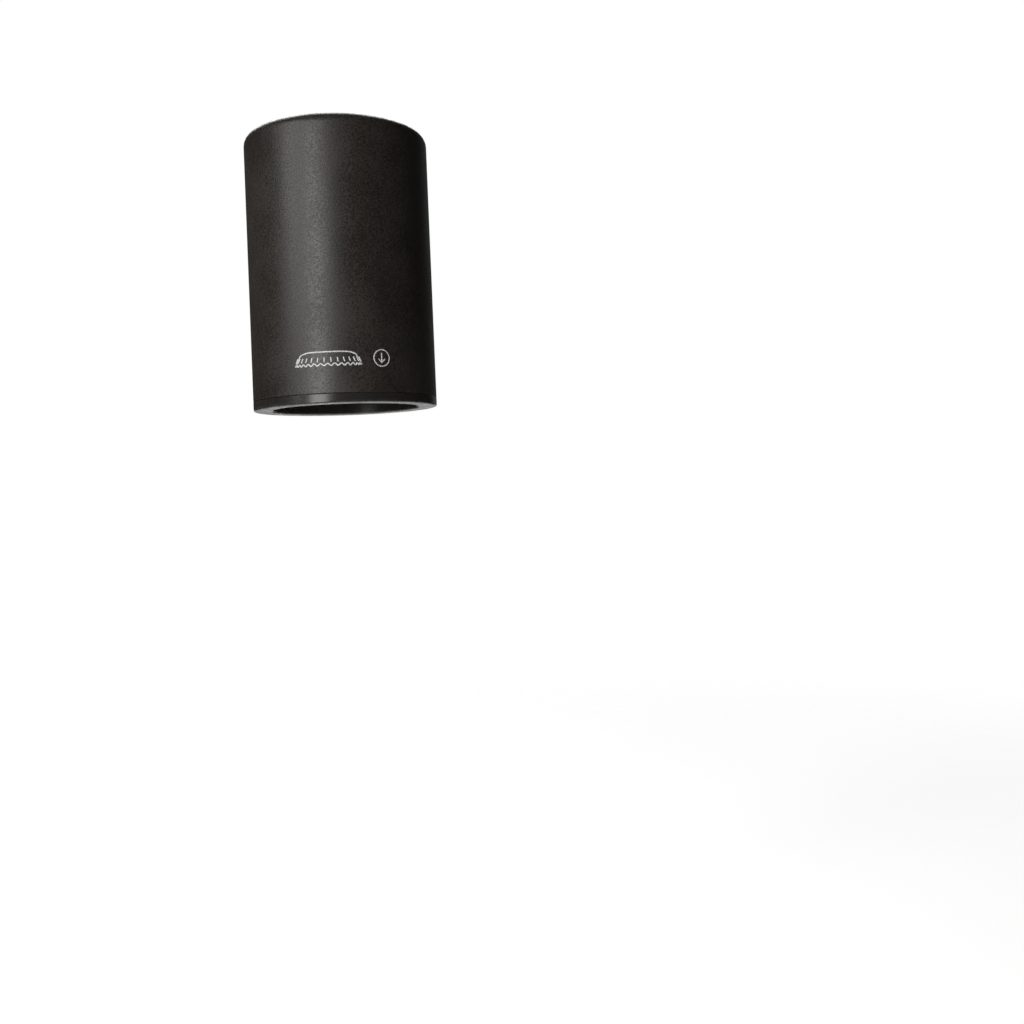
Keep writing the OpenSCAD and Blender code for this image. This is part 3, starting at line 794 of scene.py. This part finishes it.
plunger = fit(turned("magnet_plunger", [
    (0, stem_high, 0), (STEM_R, stem_high, 0.35), (STEM_R, neck_high, 0.04), (neck_r, neck_high, 0.04),
    (neck_r, neck_low, 0.04), (STEM_R, neck_low, 0.04), (STEM_R, HEAD_HIGH, 0.3),
    (COIL_IN, HEAD_HIGH, 0.2), (COIL_IN, COIL_FLOOR, 0.2), (COIL_OUT, COIL_FLOOR, 0.2),
    (COIL_OUT, HEAD_HIGH, 0.15), (head_r, HEAD_HIGH, 0.15), (head_r, head_low + HEAD_BEVEL, 0.15),
    (head_r - HEAD_BEVEL, head_low, 0.15), (nest_r, head_low, 0.2), (nest_r, nest_high, 0.1),
    (0, nest_high, 0)], closed=False, sides=128), "plunger")
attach(plunger, "plunger")

# %% Magnet and its cup
CUP_WALL, GLUE = 0.6, 0.02
magnet_r, magnet_low, magnet_high = reach("magnet")
cup_bore, glued = cup_r - CUP_WALL, magnet_high - GLUE
cup = fit(turned("backing_cup", [
    (0, cup_high, 0), (cup_r, cup_high, 0.5), (cup_r, cup_low, EDGE_BREAK), (cup_bore, cup_low, EDGE_BREAK),
    (cup_bore, magnet_high, 0.08), (0, magnet_high, 0)], closed=False, sides=128), "magnet_cup")
disc = fit(turned("disc_magnet", [
    (0, glued, 0), (magnet_r, glued, 0.2), (magnet_r, magnet_low, 0.35),
    (0, magnet_low, 0)], closed=False, sides=128), "magnet")
for piece in (cup, disc):
    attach(piece, "plunger")

# %% [markdown]
# ### Jaw pins
#
# A pin is turned too, but it lies level, across its jaw. The frame says where: each jaw's joint gives the
# pivot's place and the axis along the pin. Outwards, along and up are then the three axes of everything
# that belongs to this jaw, so its pin and its spring are made once in those axes and carried to the three
# places.

# %% Pins
PIN_R, PIN_HALF = 1.24, 10.99
JAWS = (1, 2, 3)
pivots = {joint["child"]: joint for joint in frame["joints"] if joint["type"] == "hinge"}


def jaw_axes(number):
    """Columns: outwards, along the pin and up. Also the pivot's place, in millimetres."""
    joint = pivots[f"jaw_{number}"]
    place, along = np.array(joint["pos_m"]) / MM, np.array(joint["axis"], float)
    outwards = np.array([place[0], place[1], 0]) / np.hypot(place[0], place[1])
    return np.stack([outwards, along, [0, 0, 1]], -1), place


for number in JAWS:
    axes, place = jaw_axes(number)
    lying = axes[:, [2, 0, 1]]
    pin = fit(turned(f"rocker_pin_{number}", [
        (0, PIN_HALF, 0), (PIN_R, PIN_HALF, 0.3), (PIN_R, -PIN_HALF, 0.3), (0, -PIN_HALF, 0)],
        closed=False, sides=48, axes=lying, place=place), f"jaw_pin_{number}")
    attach(pin, "carrier")

# %% [markdown]
# ## Softened mouldings and jaws
#
# The carrier, the funnel, the cone, the screws, the snap ring and the jaws have slots, holes, hooks and
# ribs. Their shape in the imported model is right, but its edges are knife sharp, which no mould or tumbling
# barrel leaves. So each is copied, its loose triangles are merged and joined back into whole faces, and a
# Bevel modifier rounds every edge sharper than the facets of a bore. A Weighted Normal modifier keeps the
# flats from being shaded as if they leaned into the bevels.

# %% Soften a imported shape
EDGE_ANGLE = math.radians(28)
ONE_POINT = 0.002 * MM
ONE_FACE = math.radians(0.5)


def softened(name, node, width, segments=2):
    """Copy of the node's mesh with merged points and whole faces, with a live bevel of this width in
    millimetres. Normals weighted by face area keep the flats flat and the bores round."""
    source = nodes[node].data
    corners = np.empty(len(source.loops), np.int32)
    source.loops.foreach_get("vertex_index", corners)
    mesh = make_mesh(name, points_of(source) / MM, corners.reshape(-1, 3).tolist())
    shape = bmesh.new()
    shape.from_mesh(mesh)
    bmesh.ops.remove_doubles(shape, verts=shape.verts, dist=ONE_POINT)
    bmesh.ops.dissolve_limit(shape, angle_limit=ONE_FACE, verts=shape.verts, edges=shape.edges)
    shape.to_mesh(mesh)
    shape.free()
    piece = fit(mesh, node)
    bevel = piece.modifiers.new("edge_round", "BEVEL")
    bevel.width, bevel.segments = width * MM, segments
    bevel.limit_method, bevel.angle_limit = "ANGLE", EDGE_ANGLE
    piece.modifiers.new("even_normals", "WEIGHTED_NORMAL")
    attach(piece, body_of[node])


print("edges rounded past", round(math.degrees(EDGE_ANGLE)), "degrees")

# %% Soften them
for name, node, width in [
        ("fibre_carrier", "jaw_carrier", 0.2), ("entry_funnel", "neck_guide", 0.2),
        ("jaw_cone", "spreader_cone", 0.25), ("cone_bolt", "cone_screw", 0.1),
        ("funnel_screws", "guide_screws", 0.1), ("snap_ring", "plunger_clip", 0.1)]:
    softened(name, node, width)
for number in JAWS:
    softened(f"steel_jaw_{number}", f"jaw_{number}", 0.25, segments=3)

# %% [markdown]
# ## Springs
#
# A spring is a round wire along a path. The path is a formula: a helix whose height climbs at an even pitch
# between its ends, and more slowly in the first and last turn, which lie closed. The return spring's ends
# are also ground flat to bear on their seats: points past either height are simply moved back to it. At its
# own end, a wire is cut square with a slightly broken edge.

# %% Sweep a section along a path
def sweep(path, section, reference, broken=0.15):
    """At each point of the path, the section's first number is laid along the cross product of the path's
    direction and the reference, and its second along the direction crossed with that. Each end has a smaller
    copy of the section first, and then a pole. Returns points, faces and, for the quads, which come first,
    the distances round and along at each corner."""
    direction = np.gradient(path, axis=0)
    direction /= np.linalg.norm(direction, axis=1, keepdims=True)
    across = np.cross(direction, reference)
    across /= np.linalg.norm(across, axis=1, keepdims=True)
    upwards = np.cross(direction, across)
    rows = np.concatenate([[0], np.arange(len(path)), [len(path) - 1]])
    middle, size = path[rows].copy(), np.ones(len(rows))
    inset = np.abs(section).max() * broken
    middle[1] += direction[0] * inset
    middle[-2] -= direction[-1] * inset
    size[[0, -1]] = 1 - broken
    laid = size[:, None, None] * section[None]
    points = middle[:, None] + laid[..., :1] * across[rows, None] + laid[..., 1:] * upwards[rows, None]
    sides = len(section)
    quads = grid_quads(len(rows), sides, False)
    travelled = np.concatenate([[0], np.cumsum(np.linalg.norm(np.diff(middle, axis=0), axis=1))])
    girth = np.linalg.norm(np.diff(section, axis=0, append=section[:1]), axis=1).sum()
    side = quads % sides
    side[side[:, 0] == sides - 1, 2:] = sides
    lay = np.stack([side / sides * girth, travelled[quads // sides]], -1)
    faces = quads.tolist() + pole_fans(len(rows), sides)
    return np.concatenate([points.reshape(-1, 3), path[[0, -1]]]), faces, lay


def swept(name, path, section, reference):
    """Mesh of a sweep, whose UV map holds the distances round and along, in metres."""
    points, faces, lay = sweep(path, section, reference)
    mesh = make_mesh(name, points, faces)
    filled = np.zeros((len(mesh.loops), 2))
    filled[:lay.size // 2] = lay.reshape(-1, 2) * MM
    mesh.uv_layers.new(name=WIRE_UV).data.foreach_set("uv", filled.ravel())
    return mesh


def wire(radius, sides):
    """Round section of a wire, turning so that the swept faces point outwards."""
    angle = -np.linspace(0, 2 * np.pi, sides, endpoint=False)
    return radius * np.stack([np.cos(angle), np.sin(angle)], -1)


print("a wire's section has", len(wire(0.5, 12)), "corners")

# %% Wind a coil
CHANGE = 0.25


def coil_path(radius, low, high, turns, pitch_closed, steps):
    """Helix from low to high. Its height climbs by pitch_closed over the first and the last turn, and evenly
    between them, with each change spread over half a turn."""
    angle = np.linspace(0, turns, steps * turns + 1)
    open_pitch = 1 / (turns - 2) * ((high - low) - 2 * pitch_closed)
    pitch = np.interp(angle, [1 - CHANGE, 1 + CHANGE, turns - 1 - CHANGE, turns - 1 + CHANGE],
                      [pitch_closed, open_pitch, open_pitch, pitch_closed])
    climbed = np.concatenate([[0], np.cumsum((pitch[1:] + pitch[:-1]) / 2 * np.diff(angle))])
    height = low + climbed * (high - low) / climbed[-1]
    return np.stack([radius * np.cos(2 * np.pi * angle), radius * np.sin(2 * np.pi * angle), height], -1)


def shorten(coil):
    """Gives the coil a mesh of its own."""
    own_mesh(coil)


# %% Return spring
COIL_R, COIL_WIRE = 23.7, 0.78
CLOSED_PITCH, GROUND_SHARE, SEAT_GAP = 2.02 * COIL_WIRE, 0.45, 0.02
coil_low, coil_high = seat_high + SEAT_GAP, top_seat_low - SEAT_GAP
ground = GROUND_SHARE * COIL_WIRE
path = coil_path(COIL_R, coil_low + ground, coil_high - ground, turns=8, pitch_closed=CLOSED_PITCH, steps=72)
mesh = swept("return_coil", path, wire(COIL_WIRE, 20), (0, 0, 1))
places = points_of(mesh)
places[:, 2] = np.clip(places[:, 2], coil_low * MM, coil_high * MM)
mesh.vertices.foreach_set("co", places.ravel())
return_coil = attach(fit(mesh, "return_spring"), "housing")
shorten(return_coil)

# %% Plunger's spring
RECESS_TOP, LIGHT_R, LIGHT_WIRE, LIGHT_PITCH, LIGHT_GAP = 30.8, 7.8, 0.28, 0.57, 0.30
path = coil_path(LIGHT_R, COIL_FLOOR + LIGHT_WIRE, RECESS_TOP - LIGHT_GAP,
                 turns=4, pitch_closed=LIGHT_PITCH, steps=48)
mesh = swept("plunger_coil", path, wire(LIGHT_WIRE, 12), (0, 0, 1))
plunger_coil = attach(fit(mesh, "plunger_spring"), "carrier")
shorten(plunger_coil)

# %% [markdown]
# ### Jaw springs
#
# A jaw's spring is three turns of thin wire beside the eye. One leg stands up against the slot's outer wall
# and stays with the carrier. The other runs up the arm, hooks over its back and goes with the jaw. Between
# the two, along the pin, the coil winds up.

# %% Jaw springs
ARM = np.array([-13.5, 17.9]) / np.hypot(13.5, 17.9)
BACK = np.array([ARM[1], -ARM[0]])
HOLD_SIDE, ARM_SIDE, HOOK_SIDE = 5.36, 3.5, 1.5
JAW_COIL_R, JAW_WIRE, JAW_TURNS = 1.85, 0.27, 3
LEG_UP, LEG_BACK, HOOK_UP = 8.2, 2.17, 1.2
BEND_TO_HOOK, BEND_TO_LEG = 0.35, 0.1
WALL_LEG_FROM, WALL_LEG_TO = 2.6, 5.2


def jaw_spring_path():
    """In the jaw's axes, from the hook on the arm to the leg on the wall: straight legs, and between them a
    helix that starts behind the arm, turns backwards and ends where its tangent points up the wall."""
    start = math.atan2(BACK[1], BACK[0])
    angle = np.linspace(start, -2 * np.pi * JAW_TURNS, 28 * JAW_TURNS)
    side = np.linspace(ARM_SIDE, HOLD_SIDE, len(angle))
    coil = np.stack([JAW_COIL_R * np.cos(angle), side, JAW_COIL_R * np.sin(angle)], -1)
    leg_end, leg_start = ARM * LEG_UP + BACK * LEG_BACK, ARM + BACK * JAW_COIL_R
    arm_leg = np.array([[leg_end[0], ARM_SIDE, leg_end[1]], [leg_start[0], ARM_SIDE, leg_start[1]]])
    hook = np.array([[arm_leg[0, 0] + HOOK_UP * ARM[0], HOOK_SIDE, arm_leg[0, 2] + HOOK_UP * ARM[1]]])
    share = np.linspace(0, 1, 5)[:, None]
    from_hook = (hook[0] - arm_leg[0]) * BEND_TO_HOOK * (1 - share) ** 2
    bend = arm_leg[0] + from_hook + (arm_leg[1] - arm_leg[0]) * BEND_TO_LEG * share ** 2
    wall_leg = np.array([[JAW_COIL_R, HOLD_SIDE, height] for height in (WALL_LEG_FROM, WALL_LEG_TO)])
    return np.concatenate([hook, bend, arm_leg[1:], coil, wall_leg])


for number in JAWS:
    axes, place = jaw_axes(number)
    path = jaw_spring_path() @ axes.T + place
    spring = fit(swept(f"jaw_coil_{number}", path, wire(JAW_WIRE, 12), axes[:, 1]), f"jaw_spring_{number}")
    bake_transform(spring)

# %% [markdown]
# ## Printed sign
#
# Low on the front, the sleeve carries a small print in silver ink: the outline of a crown cap, seen from
# the side with its pleats, and a ring with an arrow that points down, for the push that opens the bottle.
# It is drawn on a flat sheet first, as lines of a given width, and then wrapped: the distance to the right
# becomes a turn round the sleeve, and the ink stands a hundredth of a millimetre proud. Screen ink is pale
# flakes in a dull binder, thinner in some places than in others.

# %% Draw the cap and the arrow
SIGN_Z = 12.2
INK_HALF, INK_THICK = 0.19, 0.012
CAP_MIDDLE, CAP_HALF, CAP_TOP, CAP_FOOT, PLEATS = -4.6, 9.4, 1.9, -1.6, 15
WAVE, LEAN_IN, SHOULDER = 0.3, 0.84, 0.9
PLEAT_FOOT, PLEAT_TOP, PLEAT_LEAN = CAP_FOOT + 0.7, 0.35, 0.93
RING_MIDDLE, RING_R = 10.6, 2.3
ARROW_TOP, ARROW_TIP, ARROW_FOOT = 1.4, -1.3, -1.2
BARB_OUT, BARB_HIGH = 0.95, -0.25


def cap_outline(steps=240):
    """The foot is a cosine with a wave for each pleat, whose waves crowd towards both ends as on a round rim.
    The sides lean in to the top, which is a low arc."""
    share = np.linspace(-1, 1, steps)
    foot = np.stack([CAP_HALF * share, CAP_FOOT + WAVE * np.cos(2 * PLEATS * np.arcsin(share))], -1)
    crown = np.linspace(1, -1, steps // 2)
    top = np.stack([LEAN_IN * CAP_HALF * crown, CAP_TOP - SHOULDER * np.abs(crown) ** 6], -1)
    return np.concatenate([foot, top, foot[:1]])


def circle(middle, radius, steps=64):
    """Points once round a circle, closed."""
    turn = np.linspace(0, 2 * np.pi, steps + 1)
    return np.stack([middle + radius * np.cos(turn), radius * np.sin(turn)], -1)


def straight(start, finish, steps=12):
    """Points from start to finish, close enough together to follow the sleeve's round."""
    share = np.linspace(0, 1, steps)[:, None]
    return np.asarray(start) * (1 - share) + np.asarray(finish) * share


pleat_turns = (np.arange(PLEATS - 1) - (PLEATS - 2) / 2) * np.pi / PLEATS
lines = [cap_outline() + (CAP_MIDDLE, 0), circle(RING_MIDDLE, RING_R)]
for turn in pleat_turns:
    foot_x = CAP_MIDDLE + CAP_HALF * math.sin(turn)
    top_x = CAP_MIDDLE + PLEAT_LEAN * CAP_HALF * math.sin(turn)
    lines.append(straight((foot_x, PLEAT_FOOT), (top_x, PLEAT_TOP)))
lines.append(straight((RING_MIDDLE, ARROW_TOP), (RING_MIDDLE, ARROW_FOOT)))
for out in (-BARB_OUT, BARB_OUT):
    lines.append(straight((RING_MIDDLE + out, BARB_HIGH), (RING_MIDDLE, ARROW_TIP)))
print("sign:", len(lines), "lines")

# %% Print it on the sleeve
silver_ink = make_finish(
    "silver_ink", tones=[(0.34, 0.337, 0.33), (0.50, 0.495, 0.485)], rough=(0.4, 0.55),
    relief=("grain", 0.00012, 0.000003), drift=0.0007, Metallic=0.15)


def wrapped(flat):
    """Sheet to sleeve: (right, up, proud) goes to radius body_r + proud, turn right / body_r from the front,
    and height SIGN_Z + up."""
    turn = flat[:, 0] / body_r - np.pi / 2
    radius = body_r + flat[:, 2]
    return np.stack([radius * np.cos(turn), radius * np.sin(turn), SIGN_Z + flat[:, 1]], -1)


film = np.array([[1, 1], [1, -1], [-1, -1], [-1, 1]]) * (INK_HALF, INK_THICK)
points, faces = [], []
for line in lines:
    line_points, line_faces, _ = sweep(np.c_[line, np.zeros(len(line))], film, (0, 0, 1))
    first = sum(len(block) for block in points)
    points.append(line_points)
    faces += [[first + corner for corner in face] for face in line_faces]
sign = bpy.data.objects.new("printed_sign", make_mesh("printed_sign", wrapped(np.concatenate(points)), faces))
bpy.context.collection.objects.link(sign)
sign.data.materials.append(silver_ink)
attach(sign, "housing")
print("printed_sign:", len(sign.data.vertices), "points, volume", round(volume(sign.data), 2), "mm3")
